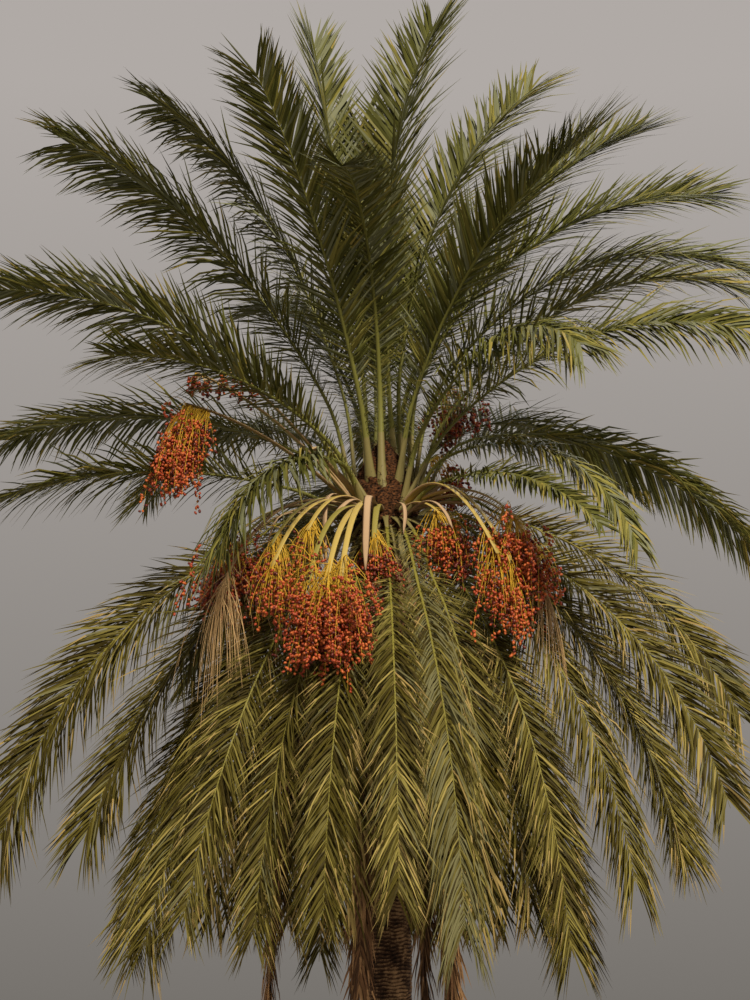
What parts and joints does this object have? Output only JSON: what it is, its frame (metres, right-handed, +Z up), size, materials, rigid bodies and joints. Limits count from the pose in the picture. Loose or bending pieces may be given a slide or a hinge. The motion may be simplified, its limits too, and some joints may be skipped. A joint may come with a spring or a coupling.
{
  "type": "date palm tree",
  "caption": "Tall feather palm rooted in the ground: one ringed trunk, a fibrous crown heart, arching green fronds, a hanging skirt and ripe date bunches.",
  "frame": {"origin": "centre of the flat cut under the trunk, at ground level", "axes": "+Z up along the trunk; the side seen in the picture faces -Y, with +X to its right"},
  "size_m": [7.8183, 7.2187, 12.1264],
  "materials": {
    "bark": "rough dark bark, ringed with old leaf scars",
    "heart_fibre": "matted brown fibre and cut leaf bases",
    "green_frond": "matt olive to yellow-green leaflets on a smooth rib",
    "dry_frond": "dry brown shrivelled leaflets",
    "dates": "ripe orange-red fruit with a waxy skin",
    "fruit_stalk": "smooth yellow stalks and strands"
  },
  "bodies": {
    "root": {"arching_frond_01": "green_frond", "arching_frond_02": "green_frond", "arching_frond_03": "green_frond", "arching_frond_04": "green_frond", "arching_frond_05": "green_frond", "arching_frond_06": "green_frond", "arching_frond_07": "green_frond", "arching_frond_08": "green_frond", "arching_frond_09": "green_frond", "arching_frond_10": "green_frond", "arching_frond_11": "green_frond", "arching_frond_12": "green_frond", "arching_frond_13": "green_frond", "arching_frond_14": "green_frond", "arching_frond_15": "green_frond", "arching_frond_16": "green_frond", "arching_frond_17": "green_frond", "crown_heart": "heart_fibre", "dead_frond_01": "dry_frond", "dead_frond_02": "dry_frond", "dead_frond_03": "dry_frond", "dead_frond_04": "dry_frond", "hanging_frond_01": "green_frond", "hanging_frond_02": "green_frond", "hanging_frond_03": "green_frond", "hanging_frond_04": "green_frond", "hanging_frond_05": "green_frond", "hanging_frond_06": "green_frond", "hanging_frond_07": "green_frond", "hanging_frond_08": "green_frond", "hanging_frond_09": "green_frond", "hanging_frond_10": "green_frond", "hanging_frond_11": "green_frond", "hanging_frond_12": "green_frond", "hanging_frond_13": "green_frond", "hanging_frond_14": "green_frond", "hanging_frond_15": "green_frond", "hanging_frond_16": "green_frond", "hanging_frond_17": "green_frond", "hanging_frond_18": "green_frond", "hanging_frond_19": "green_frond", "hanging_frond_20": "green_frond", "inner_skirt_01": "green_frond", "inner_skirt_02": "green_frond", "spear_frond_01": "green_frond", "spear_frond_02": "green_frond", "spear_frond_03": "green_frond", "spear_frond_04": "green_frond", "trunk": "bark", "upper_frond_01": "green_frond", "upper_frond_02": "green_frond", "upper_frond_03": "green_frond", "upper_frond_04": "green_frond", "upper_frond_05": "green_frond", "upper_frond_06": "green_frond", "upper_frond_07": "green_frond", "upper_frond_08": "green_frond", "upper_frond_09": "green_frond", "upper_frond_10": "green_frond", "upper_frond_11": "green_frond"}
  },
  "joints": []
}
